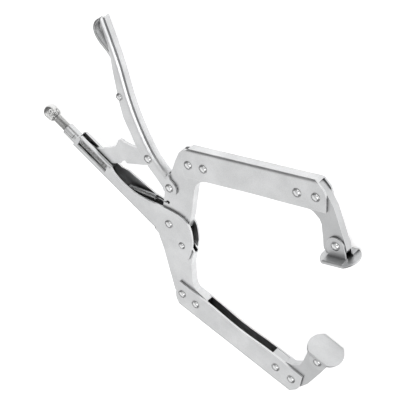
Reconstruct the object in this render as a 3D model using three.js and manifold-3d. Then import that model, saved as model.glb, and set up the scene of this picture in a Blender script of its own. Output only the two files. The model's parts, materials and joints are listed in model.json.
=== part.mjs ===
// Locking C clamp: two pressed-steel jaws with swivel pads, a fixed handle with an adjusting screw,
// and an over-centre lever linkage with a release lever.
// Millimetres. The clamp lies on its side: Z is its thickness, X runs from the adjusting knob to the
// jaws along the screw, and Y runs from the fixed handle to the lever handle.
import * as THREE from "three";
import { mergeVertices } from "three/addons/utils/BufferGeometryUtils.js";
import Module from "manifold-3d";

// ---- driving dimensions ----
const SHEET = 2.4; // channels of the handles and the arms
const HALF = 7.4; // half their outer width
const BEND = 3.2; // their outer bend radius
const INNER_SHEET = 2.2; // jaw roots and tips, which nest inside the channels
const INNER_HALF = 4.7;
const INNER_BEND = 2.6;
const GAP = 0.3; // between pieces that touch
const PIN = 3; // rivet shank radius
const HEAD = 5.4; // rivet head radius
const HEAD_HIGH = 1.9;

// Pivots, from the jaw pivot at the origin.
const ROOT_RIVET = [27.8, -11.5];
const LEVER_PIVOT = [-23.5, 47.3];
const TOGGLE_PIVOT = [-63.6, 57.3];
const RELEASE_PIVOT = [-130.4, 99.1];
const TOGGLE_END = [-135, -14.5];
const TOGGLE_END_RADIUS = 6.9;

// Jaws. Each jaw has its own axes: X from the jaw pivot to the pad rivet, Y towards the throat.
const FIXED_JAW_TURN = 3.4; // degrees about Z
const MOVABLE_JAW_TURN = 47;
const JAW_REACH = 235; // jaw pivot to pad rivet
const ARM_START = [58.5, -82]; // the arm's first rivet
const ARM_TURN = 8.44;
const ARM_RIVETS = [0, 21.3, 145.1, 168.2]; // along the arm
const ARM_BACK = -20.5; // the web's outer face, from the rivet line
const ARM_EDGE = 16.5; // the open edge

// Adjusting screw.
const SCREW_Y = -16.5;
const SCREW_RADIUS = 5.6;
const SCREW_TIP_X = -148.2;
const KNOB_X = -191.5;
const KNOB_LENGTH = 19.5;
const KNOB_RADIUS = 9.6;
const TUBE_RADIUS = 7.7;
const TUBE_X = [-172.5, -153];

// Swivel pads, from the pad rivet, with the working face towards +Y.
const PAD_TILT = 6.5;
const PAD_FACE = 18.3;
const PAD_RADIUS = 22.3;
const PAD_HALF_WIDTH = 18.1; // to the two folded edges
const PAD_SHEET = 2.2;
const EAR_INNER = 5.1;
const EAR_RADIUS = 10.5;

const rad = THREE.MathUtils.degToRad;
const wasm = await Module();
wasm.setup();

// ---- materials ----
const steel = (color, roughness, metalness = 0.85) =>
  new THREE.MeshStandardMaterial({ color, roughness, metalness });
const platedSteel = () => steel(0xc6c8c9, 0.42);
const darkerSteel = () => steel(0xa9abac, 0.46);
const rivetSteel = () => steel(0xd4d5d6, 0.3);
const screwSteel = () => steel(0x9c9d9c, 0.4);
const springSteel = () => steel(0x8d8f90, 0.35);

// ---- from geometries to solids and back ----
function solid(geometry) {
  const bare = geometry.index ? geometry.toNonIndexed() : geometry.clone();
  bare.deleteAttribute("normal");
  bare.deleteAttribute("uv");
  const merged = mergeVertices(bare, 1e-4);
  return new wasm.Manifold(
    new wasm.Mesh({
      numProp: 3,
      vertProperties: new Float32Array(merged.attributes.position.array),
      triVerts: new Uint32Array(merged.index.array),
    }),
  );
}

function piece(name, body, material) {
  const made = body.getMesh();
  const stride = made.numProp;
  const position = new Float32Array(made.numVert * 3);
  for (let i = 0; i < made.numVert; i++)
    position.set(made.vertProperties.subarray(i * stride, i * stride + 3), i * 3);
  const geometry = new THREE.BufferGeometry();
  geometry.setAttribute("position", new THREE.BufferAttribute(position, 3));
  geometry.setIndex(new THREE.BufferAttribute(new Uint32Array(made.triVerts), 1));
  geometry.computeVertexNormals();
  const mesh = new THREE.Mesh(geometry, material);
  mesh.name = name;
  return mesh;
}

// ---- shapes ----
const outline = (points) => new THREE.Shape(points.map(([x, y]) => new THREE.Vector2(x, y)));

// Points of a smooth curve through the given ones.
const through = (points, steps) =>
  new THREE.SplineCurve(points.map(([x, y]) => new THREE.Vector2(x, y)))
    .getPoints(steps)
    .map((p) => [p.x, p.y]);

// Points of an arc, in degrees, anticlockwise when the angles rise.
const arc = ([x, y], radius, from, to, steps = 8) =>
  Array.from({ length: steps + 1 }, (_, i) => {
    const angle = rad(from + ((to - from) * i) / steps);
    return [x + radius * Math.cos(angle), y + radius * Math.sin(angle)];
  });

// A flat plate from z = low to z = high.
function plate(points, low, high) {
  const shape = Array.isArray(points) ? outline(points) : points;
  const geometry = new THREE.ExtrudeGeometry(shape, {
    depth: high - low,
    bevelEnabled: false,
    curveSegments: 10,
  });
  return solid(geometry.translate(0, 0, low));
}

// A slab with rounded rims, half as thick as half on each side, shrunk inwards by inset.
function roundedSlab(points, half, radius, inset) {
  const geometry = new THREE.ExtrudeGeometry(outline(points), {
    depth: 2 * (half - radius),
    bevelThickness: radius,
    bevelSize: radius,
    bevelOffset: -radius - inset,
    bevelSegments: 4,
  });
  return solid(geometry.translate(0, 0, -(half - radius)));
}

// A pressed channel: the side outline, with a web where the outline meets the rim of its envelope.
// The envelope lies on the open side of the web's outer line, and reaches well past every other edge.
function channel(side, envelope, half, sheet, bend) {
  const body = plate(side, -half, half).intersect(roundedSlab(envelope, half, bend, 0));
  return body.subtract(roundedSlab(envelope, half - sheet, Math.max(bend - sheet, 0.6), sheet));
}

// A round bar along Z, centred on z = 0.
function barZ([x, y], radius, length, segments = 20) {
  const geometry = new THREE.CylinderGeometry(radius, radius, length, segments);
  return solid(geometry.rotateX(Math.PI / 2).translate(x, y, 0));
}

const drill = (body, centres, radius = PIN + GAP) =>
  centres.reduce((rest, at) => rest.subtract(barZ(at, radius, 60)), body);

// A box between two corners.
function block([x0, y0, z0], [x1, y1, z1]) {
  const geometry = new THREE.BoxGeometry(x1 - x0, y1 - y0, z1 - z0);
  return solid(geometry.translate((x0 + x1) / 2, (y0 + y1) / 2, (z0 + z1) / 2));
}

// A rivet with a domed head on each side; half is where its heads sit.
function rivet(name, half, at) {
  const seat = half + GAP;
  const top = seat + HEAD_HIGH;
  const profile = [
    [0, -top],
    [HEAD * 0.55, -top + 0.25],
    [HEAD * 0.88, -seat - HEAD_HIGH * 0.55],
    [HEAD, -seat],
    [PIN, -seat],
    [PIN, seat],
    [HEAD, seat],
    [HEAD * 0.88, seat + HEAD_HIGH * 0.55],
    [HEAD * 0.55, top - 0.25],
    [0, top],
  ].map(([r, z]) => new THREE.Vector2(r, z));
  const geometry = new THREE.LatheGeometry(profile, 16).rotateX(Math.PI / 2);
  const mesh = piece(name, solid(geometry), rivetSteel());
  mesh.position.set(...at, 0);
  return mesh;
}

// ---- fixed handle ----
// A channel with its web below, rolled into a threaded tube round the screw at its end.
// Behind the tube each wall is swaged: a groove outside, and a thick lip above it over the screw.
// The near wall is scooped between the lip and the jaw pivot, and the far wall is straight there.
const HANDLE_BACK = -24.7;
const WEB_END_X = -13;
const LIP = { left: -150, right: -98, top: -2.5, inside: 3.2, outside: 6.6, low: -6 };
const GROOVE = { left: -148.5, right: -101, low: -16.2, floor: 5.1, high: -4.6 };
const SEAM = { right: -158.2, width: 0.7, y: -15 };

function fixedHandle() {
  const head = [
    [37.4, 4],
    [30.6, 14.2],
    [22.4, 22.4],
    [10.1, 25.8],
    [-5, 21],
    [-17.1, 14.8],
  ];
  const scooped = through(
    [...head, [-31, 7], [-44, 0], [-58, -5.3], [-78, -7.4], [-90, -5.6]],
    20,
  );
  const straight = [
    [-37, 7.6],
    [-66, 4],
    [-80, 2.4],
    [-90, -2.2],
  ];
  const sideWith = (top) => [
    [-154, HANDLE_BACK],
    [-11, HANDLE_BACK],
    [20, -29],
    [37, -32],
    [42.6, -29.5],
    [44.4, -22],
    [42.4, -10],
    ...top,
    [LIP.right + 1, LIP.top],
    [LIP.left, LIP.top],
    [-154, -7],
  ];
  const envelope = [
    [-230, HANDLE_BACK],
    [WEB_END_X, HANDLE_BACK],
    [WEB_END_X + 2, -70],
    [120, -70],
    [120, 90],
    [-230, 90],
  ];
  // A bar along X with the given radius, and one with the given outline across Z and Y.
  const barX = (radius, from, to) =>
    solid(
      new THREE.CylinderGeometry(radius, radius, to - from, 24)
        .rotateZ(Math.PI / 2)
        .translate((from + to) / 2, SCREW_Y, 0),
    );
  const prismX = (points, from, to) =>
    solid(
      new THREE.ExtrudeGeometry(outline(points.map(([z, y]) => [-z, y])), {
        depth: to - from,
        bevelEnabled: false,
      })
        .rotateY(Math.PI / 2)
        .translate(from, 0, 0),
    );
  const near = channel(sideWith(scooped), envelope, HALF, SHEET, BEND);
  const far = channel(sideWith([...head, ...straight]), envelope, HALF, SHEET, BEND);
  let body = near.add(far.intersect(block([-240, -80, -20], [120, 90, 0])));
  for (const s of [-1, 1]) {
    const lip = [
      [s * LIP.inside, GROOVE.low],
      [s * (HALF - SHEET + 0.1), GROOVE.low],
      [s * (HALF - SHEET + 0.1), LIP.top],
      [s * LIP.inside, LIP.top],
    ];
    const groove = [
      [s * (HALF + 3), GROOVE.low - 1.2],
      [s * HALF, GROOVE.low - 1.2],
      [s * GROOVE.floor, GROOVE.low],
      [s * LIP.outside, GROOVE.high],
      [s * HALF, GROOVE.high + 0.6],
      [s * (HALF + 3), GROOVE.high + 0.6],
    ];
    const over = [
      [s * LIP.outside, GROOVE.high - 0.4],
      [s * LIP.outside, 6],
      [s * (HALF + 3), 6],
      [s * (HALF + 3), GROOVE.high - 0.4],
    ];
    body = body.add(prismX(lip, LIP.left, LIP.right));
    body = body.subtract(prismX(groove, GROOVE.left, GROOVE.right));
    body = body.subtract(prismX(over, LIP.left - 6, LIP.right + 0.5));
  }
  const seam = block([-180, SEAM.y - SEAM.width, 1], [SEAM.right, SEAM.y, 20]);
  const step = block([SEAM.right - SEAM.width, SEAM.y - 0.1, 4.4], [SEAM.right, -9, 20]);
  body = body.add(barX(TUBE_RADIUS, ...TUBE_X)).subtract(seam).subtract(step);
  body = body.subtract(barX(SCREW_RADIUS + 0.4, -200, -100));
  body = drill(body, [[0, 0], ROOT_RIVET]);
  return piece("fixed_handle", body, platedSteel());
}

// ---- adjusting screw and knob ----
function adjustingScrew() {
  const length = SCREW_TIP_X - KNOB_X;
  const geometry = new THREE.CylinderGeometry(SCREW_RADIUS, SCREW_RADIUS, length, 24)
    .rotateZ(Math.PI / 2)
    .translate((SCREW_TIP_X + KNOB_X) / 2, SCREW_Y, 0);
  return piece("adjusting_screw", solid(geometry), screwSteel());
}

function adjustingKnob() {
  const r = KNOB_RADIUS;
  const profile = [
    [0, GAP],
    [r - 2.2, GAP],
    [r - 0.4, 2],
    [r, 4.5],
    [r, 11],
    [r - 1, 15],
    [r - 3.8, 18.2],
    [0, KNOB_LENGTH],
  ].map(([x, y]) => new THREE.Vector2(x, y));
  const geometry = new THREE.LatheGeometry(profile, 24)
    .rotateZ(Math.PI / 2)
    .translate(KNOB_X, SCREW_Y, 0);
  return piece("adjusting_knob", solid(geometry), darkerSteel());
}

// ---- lever handle ----
// A channel with its web on the outer side. Its inner end is a rounded nose round the lever pivot.
const LEVER_BEND = 6.4; // its back is nearly half round

function leverHandle() {
  const back = through(
    [
      [-35, 59.8],
      [-62, 68.6],
      [-90, 85.4],
      [-118, 107.4],
      [-150, 138.7],
      [-188, 169.8],
    ],
    18,
  );
  const tail = [
    [-190.6, 171.2],
    [-192.6, 170.2],
    [-192.4, 166.6],
  ];
  const inner = through(
    [
      [-189, 162.6],
      [-170, 146.2],
      [-145.4, 114.4],
      [-117.4, 81.8],
      [-98, 68.7],
      [-78.5, 55.4],
      [-59.9, 48.6],
      [-43, 44.2],
      [-31, 40.4],
    ],
    18,
  );
  const nose = arc(LEVER_PIVOT, 10.4, 237, 440, 10);
  const side = [...inner, ...nose, [-28.5, 58.6], [-33, 62], ...back, ...tail];
  const envelope = [...back.slice(1), [-215, 192], [-260, 120], [-120, -20], [60, 0], [60, 120], [-34, 90], [-37.6, 60.7]];
  let body = channel(side, envelope, HALF, SHEET, LEVER_BEND);
  body = drill(body, [LEVER_PIVOT, TOGGLE_PIVOT, RELEASE_PIVOT]);
  return piece("lever_handle", body, platedSteel());
}

// ---- release lever ----
// A narrow channel inside the lever handle, whose web flares into a finger dish at its outer end.
const RELEASE_HALF = 4.5;
const RELEASE_SHEET = 1.6;
const DISH_HALF = 6.6;

function releaseLever() {
  const back = through(
    [
      [-119, 82.2],
      [-125.6, 87.6],
      [-134.4, 95.8],
      [-146, 111],
      [-156, 124.4],
      [-167, 132.8],
      [-180, 136.4],
      [-192, 141],
      [-199, 148.6],
      [-200.6, 157],
      [-197.6, 164.6],
    ],
    24,
  );
  const front = through(
    [
      [-167, 141.5],
      [-158, 134],
      [-146, 122.5],
      [-130, 107.4],
      [-121, 97],
      [-114.6, 89.4],
    ],
    10,
  );
  const walls = [...back.filter(([x]) => x > -168), ...front];
  const envelope = [...back, [-190, 200], [-60, 140], [-80, 60]];
  const inside = channel(walls, envelope, RELEASE_HALF, RELEASE_SHEET, 1.9);
  const bowl = [...back.filter(([x]) => x < -160), [-194.4, 163.6], [-164, 139]];
  const bowlPlate = plate(bowl, -DISH_HALF, DISH_HALF);
  const thinned = roundedSlab([...back, [-180, 190], [-60, 140], [-80, 60]], 30, 2, RELEASE_SHEET);
  const body = inside.add(bowlPlate.subtract(thinned));
  return piece("release_lever", drill(body, [RELEASE_PIVOT]), darkerSteel());
}

// ---- toggle link ----
// A flat link that holds the lever off the screw's tip, with a tab that the release lever pushes.
const TOGGLE_HALF = 2;

function toggleLink() {
  const [cx, cy] = TOGGLE_PIVOT;
  const side = [
    ...arc([cx, cy], 6, 60, 140, 4),
    [-76, 58],
    [-83.6, 51],
    [-90.8, 46.4],
    [-97.4, 43.4],
    ...arc([-102.8, 36.4], 5.6, 74, 206, 7),
    [-107.3, 25.4],
    [-114, 14],
    [-121.4, 3.6],
    [-131, -6.4],
    ...arc(TOGGLE_END, TOGGLE_END_RADIUS, 112, 312, 8),
    [-122, -17],
    [-110, -11],
    [-100.8, -1.6],
    [-91.2, 10.4],
    [-91, 16.4],
    [-88, 19.4],
    [-84.6, 18],
    [-79, 24],
    [-66, 37.6],
    [-60.6, 44.6],
    ...arc([cx, cy], 9.5, -52, 0, 4),
  ];
  const body = drill(plate(side, -TOGGLE_HALF, TOGGLE_HALF), [TOGGLE_PIVOT]);
  return piece("toggle_link", body, platedSteel());
}

// ---- return spring ----
// The outer shape of a coil spring that pulls the movable jaw open.
const SPRING_FROM = [-21.5, 17.2];
const SPRING_TO = [-70, -12.6];
const SPRING_RADIUS = 3.1;
const SPRING_HOLE = [7.2, -28.6]; // in the movable jaw's own axes
const SPRING_HOLE_RADIUS = 2.5;

function returnSpring() {
  const run = new THREE.Vector2(SPRING_TO[0] - SPRING_FROM[0], SPRING_TO[1] - SPRING_FROM[1]);
  const geometry = new THREE.CylinderGeometry(SPRING_RADIUS, SPRING_RADIUS, run.length(), 12);
  geometry.rotateZ(run.angle() - Math.PI / 2);
  geometry.translate((SPRING_FROM[0] + SPRING_TO[0]) / 2, (SPRING_FROM[1] + SPRING_TO[1]) / 2, 0);
  return piece("return_spring", solid(geometry), springSteel());
}

// ---- jaws, each in its own axes ----
function onArm([u, v]) {
  const c = Math.cos(rad(ARM_TURN));
  const s = Math.sin(rad(ARM_TURN));
  return [ARM_START[0] + u * c - v * s, ARM_START[1] + u * s + v * c];
}

// The arm: a channel, open towards the throat, with its far end cut off at a slant. Its free edges
// dip in the middle, by dip.
function arm(name, dip) {
  const side = [
    ...Array.from({ length: 9 }, (_, i) => {
      const along = i / 8;
      const sag = dip * Math.sin(Math.PI * along) ** 2;
      return [134 - 101 * along, ARM_EDGE - sag];
    }),
    [-9, ARM_EDGE],
    [-9, -5],
    [-5.5, -13],
    [1.5, ARM_BACK + 0.6],
    [4, ARM_BACK],
    [168, ARM_BACK],
    [172.5, -18.6],
    [180, -8.6],
    [181.4, -2],
    [179.2, ARM_EDGE],
  ].map(onArm);
  const envelope = [
    [-60, ARM_BACK],
    [240, ARM_BACK],
    [240, 90],
    [-60, 90],
  ].map(onArm);
  let body = channel(side, envelope, HALF, SHEET, BEND);
  body = drill(body, ARM_RIVETS.map((u) => onArm([u, 0])));
  return piece(name, body, platedSteel());
}

// The jaw's bent end: side walls joined by a web on the throat side, and by one outside the bend.
const ARM_INSIDE = ARM_BACK + SHEET + GAP;

function tip(name) {
  const throat = [
    onArm([134, ARM_EDGE - 0.4]),
    onArm([152, ARM_EDGE - 0.4]),
    [215.5, -38],
    [221, -30],
    [222.2, -24],
    [219.4, -6],
    [217.2, 5],
    [218.8, 10.4],
    [223, 12.2],
  ];
  const outer = [
    [242, 12.2],
    [246.6, 6],
    [245.6, -13.5],
    [244.4, -29],
    [243, -45],
    [239, -58],
    [233.5, -68.5],
    [229, -74.4],
    onArm([167, ARM_INSIDE]),
    onArm([134, ARM_INSIDE]),
  ];
  const hollow = [
    onArm([120, ARM_EDGE - 0.4 - INNER_SHEET]),
    onArm([151, ARM_EDGE - 0.4 - INNER_SHEET]),
    [216.8, -41],
    [223.2, -31.5],
    [224.4, -24],
    [221.6, -6],
    [219.4, 5],
    [219.4, 30],
    [244.6, 30],
    [244.4, 6],
    [243.4, -13.5],
    [242.2, -29],
    [240.8, -44.4],
    [236.9, -57],
    [231.6, -67],
    [229.4, -70],
    [226.4, -80],
    onArm([160, -30]),
    onArm([120, -30]),
  ];
  const wallInside = INNER_HALF - INNER_SHEET;
  let body = plate([...throat, ...outer], -INNER_HALF, INNER_HALF);
  body = body.subtract(plate(hollow, -wallInside, wallInside));
  body = drill(body, [onArm([ARM_RIVETS[2], 0]), onArm([ARM_RIVETS[3], 0]), [JAW_REACH, 0]]);
  return piece(name, body, darkerSteel());
}

// A swivel pad: a round face with two flats, whose folded-back tabs rise as a pair of ears.
function pad(name) {
  const [r, half, face] = [PAD_RADIUS, PAD_HALF_WIDTH, PAD_FACE];
  const flat = Math.asin(half / r);
  const rim = new THREE.Shape();
  rim.absarc(0, 0, r, -flat, flat, false);
  rim.absarc(0, 0, r, Math.PI - flat, Math.PI + flat, false);
  const disc = new THREE.ExtrudeGeometry(rim, {
    depth: PAD_SHEET - 1.4,
    bevelThickness: 0.7,
    bevelSize: 0.7,
    bevelOffset: -0.7,
    bevelSegments: 2,
    curveSegments: 14,
  });
  disc.translate(0, 0, 0.7).rotateX(-Math.PI / 2).translate(0, face - PAD_SHEET, 0);
  const back = face - PAD_SHEET;
  const tabWidth = 12.4;
  const ear = [
    [-tabWidth + 1.5, back - PAD_SHEET + 0.1],
    [tabWidth - 1.5, back - PAD_SHEET + 0.1],
    ...arc([0, 0], EAR_RADIUS, 12, 168, 10).map(([x, y]) => [x, -y]),
  ];
  let body = solid(disc);
  for (const s of [-1, 1]) {
    const between = (a, b) => [Math.min(s * a, s * b), Math.max(s * a, s * b)];
    const [z0, z1] = between(EAR_INNER, half - PAD_SHEET * 0.9);
    body = body.add(block([-tabWidth, back - PAD_SHEET, z0], [tabWidth, back + 0.1, z1]));
    const fold = new THREE.CylinderGeometry(PAD_SHEET, PAD_SHEET, 2 * tabWidth, 12)
      .rotateZ(Math.PI / 2)
      .translate(0, back, s * (half - PAD_SHEET));
    body = body.add(solid(fold));
    body = body.add(plate(ear.toReversed(), ...between(EAR_INNER, EAR_INNER + PAD_SHEET)));
  }
  const mesh = piece(name, drill(body, [[0, 0]]), platedSteel());
  mesh.position.set(JAW_REACH, 0, 0);
  mesh.rotation.z = rad(PAD_TILT);
  return mesh;
}

// What both jaws share: the arm, the tip, the pad and the rivets that hold them.
function outerJaw(prefix, dip) {
  const rivets = ARM_RIVETS.map((u, i) =>
    rivet(prefix + "_arm_rivet_" + (i + 1), HALF, onArm([u, 0])),
  );
  const padRivet = rivet(prefix + "_pad_rivet", EAR_INNER + PAD_SHEET, [JAW_REACH, 0]);
  return [arm(prefix + "_arm", dip), tip(prefix + "_jaw_tip"), pad(prefix + "_pad"), ...rivets, padRivet];
}

// A root's plates: a side outline, hollowed inside a web line, and drilled.
function root(name, side, hollow, rivetHoles, springHole) {
  const wallInside = INNER_HALF - INNER_SHEET;
  let body = plate(side, -INNER_HALF, INNER_HALF);
  body = body.subtract(plate(hollow, -wallInside, wallInside));
  if (springHole) body = drill(body, [springHole], SPRING_HOLE_RADIUS);
  return piece(name, drill(body, rivetHoles), platedSteel());
}

const armEnd = (v) => onArm([33, v]);
const ROOT_EDGE = ARM_EDGE - 0.4;

// The fixed jaw's root runs from the handle's front into the arm, with its web towards the throat.
function fixedRoot() {
  const cup = arc([0, 0], 17.5, 236, 336, 8);
  const side = [
    [-9.2, -23.4],
    ...cup,
    [36, -6],
    [44, -10],
    [45.6, -20],
    [48.4, -30],
    [59.4, -51],
    [64.5, -57.4],
    [70, -60.4],
    armEnd(ROOT_EDGE),
    armEnd(ARM_INSIDE),
    onArm([3, ARM_INSIDE]),
    onArm([-3.6, -12.6]),
    onArm([-8.7, -4.4]),
    [48, -89],
    [29.1, -67.3],
    [8.6, -43.6],
    [-4.6, -31],
  ].toReversed();
  const hollow = [
    [46.2, -13],
    [43.4, -13],
    [43.4, -21],
    [46.2, -30.8],
    [57.4, -52.2],
    [63, -59.2],
    [69.4, -62.8],
    onArm([50, ROOT_EDGE - INNER_SHEET]),
    onArm([50, -60]),
    [-60, -60],
    [-60, 30],
    [60, 30],
    [60, -13],
  ].toReversed();
  const [rx, ry] = ROOT_RIVET;
  const back = rad(-FIXED_JAW_TURN);
  const rivetHere = [
    rx * Math.cos(back) - ry * Math.sin(back),
    rx * Math.sin(back) + ry * Math.cos(back),
  ];
  return root("fixed_jaw_root", side, hollow, [rivetHere, onArm([0, 0]), onArm([ARM_RIVETS[1], 0])]);
}

// The movable jaw's root turns on the jaw pivot and carries the lever pivot and the spring's hole.
function movableRoot() {
  const [bx, by] = LEVER_PIVOT;
  const back = rad(-MOVABLE_JAW_TURN);
  const leverHere = [
    bx * Math.cos(back) - by * Math.sin(back),
    -(bx * Math.sin(back) + by * Math.cos(back)),
  ];
  const side = [
    ...arc([0, 0], 14.6, 190, 60, 10),
    [17.4, 10],
    [23.4, 7.2],
    [27.4, 4],
    [38.6, -15],
    [54.6, -48.6],
    [59.5, -56],
    [68, -60.2],
    armEnd(ROOT_EDGE),
    armEnd(ARM_INSIDE),
    onArm([-6, ARM_INSIDE]),
    onArm([-13, -12]),
    onArm([-20, -1]),
    [32.2, -77],
    [24.8, -66.6],
    ...arc(leverHere, 9.2, 262, 168, 6),
    [4.6, -38],
    [1.2, -30],
  ];
  const hollow = [
    [24, -60],
    [-60, -60],
    [-60, 60],
    [26, 60],
    [26.3, 4],
    [36.5, -16],
    [52.5, -49.6],
    [57.8, -57.6],
    [67.4, -62.6],
    onArm([50, ROOT_EDGE - INNER_SHEET]),
    onArm([50, -60]),
    onArm([-60, -60]),
  ];
  const rivetHoles = [[0, 0], leverHere, onArm([0, 0]), onArm([ARM_RIVETS[1], 0])];
  return root("movable_jaw_root", side.toReversed(), hollow.toReversed(), rivetHoles, SPRING_HOLE);
}

// ---- assembly ----
const lowerJaw = new THREE.Group();
lowerJaw.rotation.z = rad(FIXED_JAW_TURN);
lowerJaw.add(fixedRoot(), ...outerJaw("lower", 2.6));

// The movable jaw is turned over about its own X axis, so that its throat faces the other jaw.
const upperTurned = new THREE.Group();
upperTurned.rotation.x = Math.PI;
upperTurned.add(movableRoot(), ...outerJaw("upper", 0.6));
const upperJaw = new THREE.Group();
upperJaw.rotation.z = rad(MOVABLE_JAW_TURN);
upperJaw.add(upperTurned);

const clamp = new THREE.Group();
clamp.add(
  fixedHandle(),
  adjustingScrew(),
  adjustingKnob(),
  leverHandle(),
  releaseLever(),
  toggleLink(),
  returnSpring(),
  rivet("jaw_pivot_rivet", HALF, [0, 0]),
  rivet("jaw_root_rivet", HALF, ROOT_RIVET),
  rivet("lever_pivot_rivet", HALF, LEVER_PIVOT),
  rivet("toggle_pivot_rivet", HALF, TOGGLE_PIVOT),
  rivet("release_pivot_rivet", HALF, RELEASE_PIVOT),
  lowerJaw,
  upperJaw,
);

// The clamp rests on its far side, with its origin under the middle of its box.
clamp.updateMatrixWorld(true);
const box = new THREE.Box3().setFromObject(clamp, true);
const middle = box.getCenter(new THREE.Vector3());
clamp.position.set(-middle.x, -middle.y, -box.min.z);

export default clamp;
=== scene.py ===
import json
import math

import bmesh
import bpy
from mathutils import Matrix, Vector


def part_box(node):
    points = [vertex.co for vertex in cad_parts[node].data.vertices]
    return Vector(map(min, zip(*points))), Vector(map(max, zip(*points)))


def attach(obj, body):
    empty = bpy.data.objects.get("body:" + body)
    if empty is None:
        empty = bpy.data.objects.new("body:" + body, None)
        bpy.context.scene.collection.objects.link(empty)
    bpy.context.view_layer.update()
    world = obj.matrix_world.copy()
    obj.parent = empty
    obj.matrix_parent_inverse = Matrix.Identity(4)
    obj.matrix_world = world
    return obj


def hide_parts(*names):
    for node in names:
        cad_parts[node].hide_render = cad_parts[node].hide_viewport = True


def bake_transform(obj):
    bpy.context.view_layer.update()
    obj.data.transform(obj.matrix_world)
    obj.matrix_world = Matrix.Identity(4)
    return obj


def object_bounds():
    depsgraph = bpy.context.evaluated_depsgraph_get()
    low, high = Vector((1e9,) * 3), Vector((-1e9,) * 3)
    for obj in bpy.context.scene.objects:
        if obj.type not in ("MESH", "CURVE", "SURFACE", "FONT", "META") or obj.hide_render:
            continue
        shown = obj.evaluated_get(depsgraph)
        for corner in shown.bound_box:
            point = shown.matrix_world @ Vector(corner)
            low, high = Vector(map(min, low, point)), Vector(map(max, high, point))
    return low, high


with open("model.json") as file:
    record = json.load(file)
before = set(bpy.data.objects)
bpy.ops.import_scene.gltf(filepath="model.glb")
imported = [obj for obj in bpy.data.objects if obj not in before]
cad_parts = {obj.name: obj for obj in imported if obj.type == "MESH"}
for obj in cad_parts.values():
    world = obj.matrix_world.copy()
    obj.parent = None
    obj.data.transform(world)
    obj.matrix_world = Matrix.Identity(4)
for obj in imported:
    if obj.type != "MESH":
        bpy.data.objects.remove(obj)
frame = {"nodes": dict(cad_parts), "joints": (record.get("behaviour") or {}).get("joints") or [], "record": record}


# ---- Camera ----
# The clamp lies on its side and is seen from above its lever handle, through a long lens that is
# rolled, so that the knob is at the upper left and the jaws open towards the right.
MM = 0.001
cad_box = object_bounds()
joints = {joint["name"]: joint for joint in frame["joints"]}
pivot = Vector(joints["jaw_pivot"]["pos_m"])
pivot.z = cad_box[1].z / 2
back = Vector((0.13361, 0.75775, 0.63871)).normalized()
right = Vector((0.70271, 0.38202, -0.60022)).normalized()
upward = back.cross(right)
camera = bpy.data.objects.new("camera", bpy.data.cameras.new("camera"))
bpy.context.scene.collection.objects.link(camera)
camera.data.sensor_width = 36
camera.data.lens = 98.65
camera.data.clip_end = 20
middle_of_view = pivot + Vector((25.24, 62.43, 0)) * MM
viewing_distance = 1.291
turn = Matrix((right, upward, back)).transposed().to_4x4()
camera.matrix_world = Matrix.Translation(middle_of_view + back * viewing_distance) @ turn
bpy.context.scene.camera = camera
bpy.context.scene.view_settings.view_transform = "Standard"


# ---- Floor and light ----
# A pale floor and three soft sheets of light: one beyond the clamp, one above its jaws, and one on
# the camera's side. The room is dark near the floor, but the camera sees a plain pale backdrop.
class Value:
    """A node's output, used in plain sums, which add the Math nodes."""

    def __init__(self, sheet, socket):
        self.sheet = sheet
        self.socket = socket

    def sum(self, operation, first, second):
        return self.sheet.node("ShaderNodeMath", {"operation": operation}, {0: first, 1: second})

    def __add__(self, other):
        return self.sum("ADD", self, other)

    def __sub__(self, other):
        return self.sum("SUBTRACT", self, other)

    def __rsub__(self, other):
        return self.sum("SUBTRACT", other, self)

    def __mul__(self, other):
        return self.sum("MULTIPLY", self, other)

    __radd__ = __add__
    __rmul__ = __mul__


class Sheet:
    """A sheet of nodes. Every node but the Math nodes is made by its node method."""

    def __init__(self, tree):
        self.tree = tree

    def node(self, kind, settings, inputs, output=0):
        made = self.tree.nodes.new(kind)
        for name, value in settings.items():
            if name == "stops":
                self.set_stops(made.color_ramp.elements, value)
            else:
                setattr(made, name, value)
        for name, value in inputs.items():
            self.feed(made.inputs[name], value)
        return Value(self, made.outputs[output])

    def feed(self, socket, value):
        if isinstance(value, Value):
            self.tree.links.new(value.socket, socket)
        else:
            socket.default_value = value

    def set_stops(self, elements, stops):
        for i, (position, grey) in enumerate(stops):
            stop = elements[i] if i < 2 else elements.new(position)
            stop.position = position
            stop.color = (grey, grey, grey, 1)


class Finish(Sheet):
    """A material with its sheet of nodes."""

    def __init__(self, name):
        self.material = bpy.data.materials.new(name)
        self.material.use_nodes = True
        super().__init__(self.material.node_tree)
        self.shader = self.tree.nodes["Principled BSDF"]
        self.place = self.node("ShaderNodeTexCoord", {}, {}, "Object")

    def noise(self, scale, detail, stretch=(1, 1, 1)):
        place = self.node("ShaderNodeMapping", {}, {"Vector": self.place, "Scale": stretch})
        made = {"Vector": place, "Scale": scale, "Detail": detail}
        return self.node("ShaderNodeTexNoise", {}, made, "Fac")

    def band(self, value, low, high):
        made = {"Value": value, "From Min": low, "From Max": high}
        return self.node("ShaderNodeMapRange", {"interpolation_type": "SMOOTHSTEP"}, made)

    def between(self, share, first, second):
        colours = [end if isinstance(end, Value) else (*end, 1) for end in (first, second)]
        made = {"Factor": share, 6: colours[0], 7: colours[1]}
        return self.node("ShaderNodeMix", {"data_type": "RGBA"}, made, 2)

    def bump(self, height, distance, strength):
        made = {"Height": height, "Distance": distance, "Strength": strength}
        return self.node("ShaderNodeBump", {}, made, "Normal")

    def wear(self, sockets):
        for name, value in sockets.items():
            self.feed(self.shader.inputs[name], value)


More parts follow.
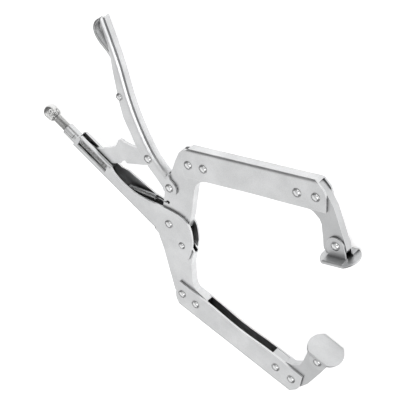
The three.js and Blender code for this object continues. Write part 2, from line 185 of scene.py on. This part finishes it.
floor_mesh = bpy.data.meshes.new("floor")
floor_edge = 1.3
floor_gap = 0.0004
floor_middle = (cad_box[0] + cad_box[1]) / 2
floor_corners = [(x * floor_edge, y * floor_edge, 0) for x, y in ((-1, -1), (1, -1), (1, 1), (-1, 1))]
floor_mesh.from_pydata(floor_corners, [], [(0, 1, 2, 3)])
floor = bpy.data.objects.new("floor", floor_mesh)
bpy.context.scene.collection.objects.link(floor)
floor.location = (floor_middle.x, floor_middle.y, -floor_gap)
paper = Finish("white paper")
paper.wear(
    {
        "Base Color": (0.9, 0.9, 0.9, 1),
        "Roughness": 0.9,
        "Specular IOR Level": 0.0,
        "Emission Color": (1, 1, 1, 1),
        "Emission Strength": 0.62,
    }
)
floor_mesh.materials.append(paper.material)


def soft_light(name, place, aim, size, watts):
    lamp = bpy.data.lights.new(name, "AREA")
    lamp.shape = "RECTANGLE"
    lamp.size, lamp.size_y = size
    lamp.energy = watts
    light = bpy.data.objects.new(name, lamp)
    bpy.context.scene.collection.objects.link(light)
    light.location = place
    light.rotation_euler = (Vector(aim) - Vector(place)).to_track_quat("-Z", "Y").to_euler()


soft_light("back sheet", (-0.2, -1.6, 1.3), (0, 0, 0), (2.6, 1.4), 9.5)
soft_light("tent roof", (1.0, 0.15, 1.75), (0, 0, 0), (1.0, 1.1), 8)
soft_light("front sheet", (-0.35, 1.8, 1.35), (0, 0, 0), (1.0, 1.2), 7)

world = bpy.data.worlds.new("room")
bpy.context.scene.world = world
world.use_nodes = True
room = Sheet(world.node_tree)
direction = room.node("ShaderNodeTexCoord", {}, {}, "Generated")
height = room.node("ShaderNodeSeparateXYZ", {}, {0: direction}, "Z")
wall_greys = ((0.0, 0.03), (0.30, 0.16), (0.75, 0.30), (0.97, 0.85))
walls = room.node("ShaderNodeValToRGB", {"stops": wall_greys}, {"Fac": height}, "Color")
seen = room.node("ShaderNodeLightPath", {}, {}, "Is Camera Ray")
backdrop_white = (1.1, 1.1, 1.1, 1)
choice = {"Factor": seen, 6: walls, 7: backdrop_white}
backdrop = room.node("ShaderNodeMix", {"data_type": "RGBA"}, choice, 2)
background = world.node_tree.nodes["Background"]
room.feed(background.inputs["Color"], backdrop)
room.feed(background.inputs["Strength"], 0.95)


# ---- Fixed handle ----
# A channel pressed from one blank of sheet steel, with its end rolled round the adjusting screw.
# Like all the pressed plates it keeps its CAD shape, is tumbled, which breaks its cut edges a little,
# and is then plated.
# Width and near-white colour (below) of the painted highlight on edges.
painted_highlight_width = 0.6 * MM
# Reach and near-black colour (below) of the painted shade in crevices.
painted_shade_reach = 12 * MM
grain_height = 0.03 * MM
painted_highlight_colour = (0.95, 0.95, 0.95)
painted_shade_colour = (0.02, 0.02, 0.02)
pocket_darker_greys = ((0.16, 0.16, 0.16), (0.52, 0.52, 0.52))


def plated(name, dark, light, roughness, darkened_where=None):
    """Satin plating with a fine grain, faint clouds and short hair scratches, with a painted highlight on the
    edges and painted shade in the crevices."""
    steel = Finish(name)
    clouds = steel.noise(34, 4)
    grain = steel.noise(1500, 2)
    hair = steel.noise(260, 2, (1, 14, 6)) * steel.noise(90, 2, (12, 1, 6))
    scratches = steel.band(hair, 0.34, 0.5)
    tone = steel.band(clouds * 0.5 + grain * 0.5, 0.3, 0.7)
    # Painted highlight: the colour is lightened toward near white along edges, where the bevelled normal turns
    # away from the face normal.
    turned = steel.node("ShaderNodeBevel", {"samples": 6}, {"Radius": painted_highlight_width}, "Normal")
    flat = steel.node("ShaderNodeNewGeometry", {}, {}, "Normal")
    along = steel.node("ShaderNodeVectorMath", {"operation": "DOT_PRODUCT"}, {0: turned, 1: flat}, "Value")
    painted_highlight = steel.band(1 - along, 0.01, 0.12)
    # Painted shade: ambient occlusion darkens the colour to near black in crevices, joints and channel insides.
    reach = {"Distance": painted_shade_reach}
    open_air = steel.node("ShaderNodeAmbientOcclusion", {"samples": 12}, reach, "AO")
    painted_shade = 1 - steel.band(open_air, 0.1, 0.72)
    plating = steel.between(tone, dark, light)
    # Inside the pocket the colour is blended toward darker, blotchy greys.
    if darkened_where:
        blotches = steel.band(steel.noise(520, 4), 0.35, 0.68)
        plating = steel.between(darkened_where(steel), plating, steel.between(blotches, *pocket_darker_greys))
    highlighted_plating = steel.between(painted_highlight * 0.7, plating, painted_highlight_colour)
    steel.wear(
        {
            "Base Color": steel.between(painted_shade * 0.93, highlighted_plating, painted_shade_colour),
            "Metallic": 1.0,
            "Roughness": clouds * 0.10 + grain * 0.08 + (roughness - 0.09) - scratches * 0.05,
            "Normal": steel.bump(grain * 0.6 + scratches * 0.4, grain_height, 0.5),
        }
    )
    return steel.material


def at(x, y, z=0.0):
    """A place given in millimetres from the jaw's pivot."""
    return pivot + Vector((x, y, z)) * MM


sharp_corner = math.radians(40)


def pressed_plate(node, material, edge=0.3):
    """A piece that keeps its CAD shape, with its cut edges broken by so many millimetres."""
    piece = frame["nodes"][node]
    piece.data.materials.clear()
    piece.data.materials.append(material)
    for face in piece.data.polygons:
        face.use_smooth = True
    cut = piece.modifiers.new("broken edges", "BEVEL")
    cut.width = edge * MM
    cut.segments = 2
    cut.limit_method = "ANGLE"
    cut.angle_limit = sharp_corner
    cut.harden_normals = True
    even = piece.modifiers.new("even shading", "WEIGHTED_NORMAL")
    even.keep_sharp = True


pocket_starts, pocket_ends = (-148, -145.5), (-104, -101)
pocket_floor, pocket_roof = (-16.6, -16.0), (-5.4, -4.7)
pocket_side = (6.6 * MM, 6.9 * MM)


def within(steel, place, rise, fall):
    """One between two fading edges, which are given in millimetres, and nought outside them."""
    risen = steel.band(place, rise[0] * MM, rise[1] * MM)
    return risen * (1 - steel.band(place, fall[0] * MM, fall[1] * MM))


def in_pocket(steel):
    """The inside of the swaged pocket over the screw, where the colour is blended toward darker, blotchy greys."""
    moved = {0: steel.place, 1: tuple(pivot)}
    local = steel.node("ShaderNodeVectorMath", {"operation": "SUBTRACT"}, moved)
    x, y, z = (steel.node("ShaderNodeSeparateXYZ", {}, {0: local}, axis) for axis in range(3))
    along = within(steel, x, pocket_starts, pocket_ends)
    across = within(steel, y, pocket_floor, pocket_roof)
    return along * across * (1 - steel.band(z * z, pocket_side[0] ** 2, pocket_side[1] ** 2))


handle_steel = plated("handle steel", (0.56, 0.565, 0.57), (0.76, 0.765, 0.77), 0.36, in_pocket)
pressed_plate("fixed_handle", handle_steel)


# ---- Adjusting screw ----
# A steel rod with a rolled thread and a chamfered tip, which stands in the handle's rolled end. It
# is built ring by ring along the rod, and the thread's phase turns with the angle.
def stand_in(name, mesh, material, node):
    """A new piece from a mesh in the row frame, which stands for a CAD node."""
    mesh.materials.clear()
    mesh.materials.append(material)
    piece = bpy.data.objects.new(name.replace(" ", "_"), mesh)
    bpy.context.scene.collection.objects.link(piece)
    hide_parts(node)
    return piece


def turned_piece(name, rings, material, body, node):
    """A closed skin over rings of points round one axis, with its two ends filled."""
    around = len(rings[0])
    last = (len(rings) - 1) * around
    faces = []
    for start in range(0, last, around):
        for i in range(around):
            j = (i + 1) % around
            faces.append((start + i, start + j, start + around + j, start + around + i))
    faces.append(tuple(reversed(range(around))))
    faces.append(tuple(last + i for i in range(around)))
    mesh = bpy.data.meshes.new(name)
    mesh.from_pydata([point for ring in rings for point in ring], [], faces)
    surface = bmesh.new()
    surface.from_mesh(mesh)
    bmesh.ops.recalc_face_normals(surface, faces=surface.faces)
    surface.to_mesh(mesh)
    surface.free()
    for face in mesh.polygons:
        face.use_smooth = len(face.vertices) == 4
    piece = stand_in(name, mesh, material, node)
    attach(piece, body)
    return piece


screw_steel = plated("screw steel", (0.48, 0.48, 0.475), (0.66, 0.66, 0.65), 0.36)
screw_low, screw_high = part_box("adjusting_screw")
screw_axis = (screw_low + screw_high) / 2
screw_radius = (screw_high.y - screw_low.y) / 2
thread_pitch = 1.5 * MM
thread_depth = 0.75 * MM
flank_slope = 2.5
root_width = 0.12
tip_chamfer = 1.6 * MM
chamfer_slope = 0.9
screw_length = screw_high.x - screw_low.x
steps_per_pitch = 8
screw_steps = int(screw_length / thread_pitch * steps_per_pitch)
screw_sides = 40
thread_rings = []
for step in range(screw_steps + 1):
    x = screw_low.x + screw_length * step / screw_steps
    chamfer = max(0.0, tip_chamfer - (screw_high.x - x)) * chamfer_slope
    ring = []
    for i in range(screw_sides):
        angle = math.tau * i / screw_sides
        phase = (x / thread_pitch - i / screw_sides) % 1
        groove = min(1.0, max(0.0, abs(phase - 0.5) * flank_slope - root_width))
        radius = min(screw_radius - thread_depth * (1 - groove), screw_radius - chamfer)
        ring.append((x, screw_axis.y + radius * math.cos(angle), screw_axis.z + radius * math.sin(angle)))
    thread_rings.append(ring)
turned_piece("threaded rod", thread_rings, screw_steel, "screw", "adjusting_screw")


# ---- Adjusting knob ----
# The screw's turned steel head, fixed on the end of the rod. Eight scallops for the fingers are cut
# into the face towards the handle, and fade out at a shallow neck. Beyond it the head is domed.
knob_steel = plated("knob steel", (0.50, 0.50, 0.495), (0.88, 0.88, 0.875), 0.26)
knob_low, knob_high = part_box("adjusting_knob")
knob_axis = (knob_low + knob_high) / 2
rim_clearance = 0.05 * MM
knob_radius = (knob_high.y - knob_low.y) / 2 - rim_clearance
knob_length = knob_high.x - knob_low.x
knob_profile = (
    (0.00, 0.52),
    (0.00, 0.66),
    (0.04, 0.80),
    (0.12, 0.92),
    (0.24, 0.98),
    (0.36, 0.99),
    (0.42, 0.95),
    (0.48, 0.95),
    (0.54, 0.99),
    (0.66, 0.94),
    (0.76, 0.86),
    (0.86, 0.73),
    (0.94, 0.54),
    (0.985, 0.32),
    (1.00, 0.08),
)
knob_sides = 96
scallops = 8
scallop_turn = 0.4
scallop_depth = 0.36
scallop_end = 0.44
knob_rings = []
for along, width in knob_profile:
    fade = max(0.0, 1 - (along / scallop_end) ** 3) * min(1, width * 1.1)
    ring = []
    for i in range(knob_sides):
        angle = math.tau * i / knob_sides
        scallop = abs(math.cos(scallops / 2 * angle + scallop_turn)) ** 3
        depth = scallop_depth * scallop * fade
        radius = knob_radius * width * (1 - depth)
        x = knob_high.x - knob_length * along
        ring.append((x, knob_axis.y + radius * math.cos(angle), knob_axis.z + radius * math.sin(angle)))
    knob_rings.append(ring)
knob = turned_piece("knob", knob_rings, knob_steel, "knob", "adjusting_knob")
rounding = knob.modifiers.new("rounding", "SUBSURF")
rounding.levels = rounding.render_levels = 1


# ---- Lever handle ----
# A pressed steel channel whose back is nearly half round, so it fills the palm. The nose round its
# pivot has no web, and laps the movable jaw's root on both sides.
plated_steel = plated("plated steel", (0.56, 0.565, 0.57), (0.76, 0.765, 0.77), 0.36)
pressed_plate("lever_handle", plated_steel)


# ---- Release lever ----
# A narrow pressed channel inside the lever handle. Its web flares into a shallow dish for a finger,
# and its section is swept along the web: half width, wall height, and the depth of the dish.
# Its colour runs far darker than the other plating: painted shade in place of the dark reflections of its dish.
release_steel = plated("release steel", (0.14, 0.142, 0.145), (0.78, 0.785, 0.79), 0.34)
release_path = (
    (-119.4, 83, 4.4, 8.0, 0),
    (-125.6, 88.2, 4.4, 10.0, 0),
    (-134.2, 96.2, 4.4, 12.0, 0),
    (-145.8, 111.3, 4.4, 11.0, 0),
    (-155.8, 124.6, 4.4, 7.5, 0),
    (-161.5, 129.8, 4.4, 5.0, 0.2),
    (-167, 133.0, 4.6, 3.8, 0.4),
    (-173.5, 135.0, 5.2, 4.0, 0.6),
    (-180, 136.6, 5.8, 4.2, 0.8),
    (-186.5, 138.8, 6.2, 4.3, 1.0),
    (-192.4, 142.2, 6.4, 4.2, 1.0),
    (-197, 146.6, 6.3, 4.0, 0.9),
    (-199.6, 152.6, 5.9, 3.6, 0.7),
    (-199.6, 158.6, 5.0, 3.0, 0.4),
    (-197.6, 163.0, 3.4, 2.2, 0.2),
)
release_sheet = 1.4 * MM
web_lift = 1.5
lever_side = Vector((0.66, 0.75, 0))
flat_share = 0.62
wall_curve = 1.6
corner_share = 0.86
corner_curve = 0.96
release_steps = 24
release_points = []
for k, (x, y, half, wall, dish) in enumerate(release_path):
    before = release_path[max(k - 1, 0)]
    after = release_path[min(k + 1, len(release_path) - 1)]
    along = Vector((after[0] - before[0], after[1] - before[1], 0)).normalized()
    inward = Vector((along.y, -along.x, 0))
    if inward.dot(lever_side) < 0:
        inward = -inward
    for i in range(release_steps + 1):
        side = -1 + 2 * i / release_steps
        bend = max(0.0, abs(side) - flat_share) / (1 - flat_share)
        height = wall * bend**wall_curve + dish * (side * side - 1) * (1 - bend)
        across = half * min(1.0, abs(side) / corner_share) ** corner_curve * (1 if side > 0 else -1)
        release_points.append(at(x, y, across) + inward * (height + web_lift) * MM)
release_faces = []
row = release_steps + 1
for start in range(0, row * (len(release_path) - 1), row):
    for i in range(start, start + release_steps):
        release_faces.append((i, i + 1, i + row + 1, i + row))
release_mesh = bpy.data.meshes.new("release lever")
release_mesh.from_pydata(release_points, [], release_faces)
for face in release_mesh.polygons:
    face.use_smooth = True
release = stand_in("finger dish", release_mesh, release_steel, "release_lever")
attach(release, "release")
rounding = release.modifiers.new("rounding", "SUBSURF")
rounding.levels = rounding.render_levels = 2
thickness = release.modifiers.new("sheet", "SOLIDIFY")
thickness.thickness = release_sheet
thickness.offset = 0


# ---- Toggle link ----
# A flat plate blanked from thick sheet steel. A rivet joins it to the lever handle, and its round
# end bears on the tip of the adjusting screw.
pressed_plate("toggle_link", plated_steel, 0.35)


# ---- Return spring ----
# An extension spring coiled from round plated wire. One end hooks into the movable jaw's root, and
# the other into the web of the fixed handle. On the clamp it changes length as the jaw swings; here it is one
# fixed mesh.
spring_steel = plated("spring steel", (0.52, 0.525, 0.53), (0.66, 0.665, 0.67), 0.26)
spring_from = Vector((-22.5, 16.6, 0))
spring_to = Vector((-69.0, -12.0, 0))
spring_along = (spring_to - spring_from).normalized()
spring_across = Vector((-spring_along.y, spring_along.x, 0))
spring_length = (spring_to - spring_from).length
wire_radius = 0.55
coil_radius = 2.5
coil_turns = 24
coil_start = 12.0
spring_path = [
    Vector((-15.4, 24.6, 5.4)),
    Vector((-16.6, 24.6, 6.3)),
    Vector((-18.6, 22.6, 5.6)),
    Vector((-21.5, 19.0, 3.4)),
    Vector((-26.0, 15.0, 1.2)),
    Vector((-31.0, 11.4, 0.2)),
]
lower_hook = 2.0
coil_end = spring_length - lower_hook
points_per_turn = 14
for i in range(coil_turns * points_per_turn + 1):
    turns = i / points_per_turn
    down = coil_start + (coil_end - coil_start) * turns / coil_turns
    angle = math.tau * turns
    offset = spring_across * math.cos(angle) * coil_radius + Vector((0, 0, math.sin(angle) * coil_radius))
    spring_path.append(spring_from + spring_along * down + offset)
spring_path += [Vector((-68.6, -13.4, 0.4)), Vector((-71.2, -15.2, 0)), Vector((-72.4, -17.6, 0))]
wire = bpy.data.curves.new("spring wire", "CURVE")
wire.dimensions = "3D"
wire.bevel_depth = wire_radius * MM
wire.bevel_resolution = 2
strand = wire.splines.new("POLY")
strand.points.add(len(spring_path) - 1)
for point, where in zip(strand.points, spring_path):
    point.co = (*at(*where), 1)
wire_curve = bpy.data.objects.new("spring wire", wire)
bpy.context.scene.collection.objects.link(wire_curve)
bpy.context.view_layer.update()
spring_mesh = bpy.data.meshes.new_from_object(wire_curve)
bpy.data.objects.remove(wire_curve)
for face in spring_mesh.polygons:
    face.use_smooth = True
spring = stand_in("coil spring", spring_mesh, spring_steel, "return_spring")
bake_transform(spring)


# ---- Jaws ----
# Each jaw is a folded root, a channel arm and a folded tip, all of sheet steel, nested in each other
# and riveted together. The tips come out of the plating a little darker.
for node in ("fixed_jaw_root", "movable_jaw_root", "lower_arm", "upper_arm"):
    pressed_plate(node, plated_steel)
tip_steel = plated("darker plated steel", (0.50, 0.505, 0.51), (0.62, 0.625, 0.63), 0.40)
for node in ("lower_jaw_tip", "upper_jaw_tip"):
    pressed_plate(node, tip_steel)


# ---- Swivel pads ----
# A round blank of sheet steel whose two sides are folded back flat and then up into two ears. A
# rivet through the ears hangs the pad on the jaw's tip, where it can tilt.
pad_steel = plated("pad steel", (0.50, 0.505, 0.51), (0.66, 0.665, 0.67), 0.40)
for node in ("lower_pad", "upper_pad"):
    pressed_plate(node, pad_steel, 0.25)


# ---- Rivets ----
# Short lengths of round steel wire, headed cold after the plates are put together. Each side has a
# low dome, which stands on a thin ring where the metal spread.
rivet_steel = plated("rivet steel", (0.66, 0.665, 0.67), (0.80, 0.805, 0.81), 0.24)
rivet_profile = (
    (0.00, 1.00),
    (0.16, 0.985),
    (0.34, 0.93),
    (0.52, 0.83),
    (0.68, 0.68),
    (0.79, 0.50),
    (0.84, 0.34),
    (0.86, 0.24),
    (0.93, 0.20),
    (0.99, 0.14),
    (1.00, 0.00),
)
rivet_bodies = {
    node: body
    for body, nodes in frame["record"]["behaviour"]["bodies"].items()
    for node in nodes
    if "rivet" in node
}
head_height = 2.0 * MM
shank_radius = 2.9 * MM
crown_radius = 0.02 * MM
small_head = 0.84
small_headed = ("release_pivot_rivet", "jaw_root_rivet")
rivet_sides = 40
for node, body in rivet_bodies.items():
    low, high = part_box(node)
    centre = (low + high) / 2
    head_radius = (high.x - low.x) / 2
    if node in small_headed:
        head_radius *= small_head
    top = high.z - centre.z
    near = [(head_radius * r, top - head_height * (1 - h)) for r, h in reversed(rivet_profile)]
    far = [(r, -z) for r, z in reversed(near)]
    rivet_rings = []
    for r, z in [*far, (shank_radius, far[-1][1]), (shank_radius, near[0][1]), *near]:
        radius = max(r, crown_radius)
        ring = []
        for i in range(rivet_sides):
            angle = math.tau * i / rivet_sides
            x = centre.x + radius * math.cos(angle)
            ring.append((x, centre.y + radius * math.sin(angle), centre.z + z))
        rivet_rings.append(ring)
    turned_piece(node.replace("_", " "), rivet_rings, rivet_steel, body, node)
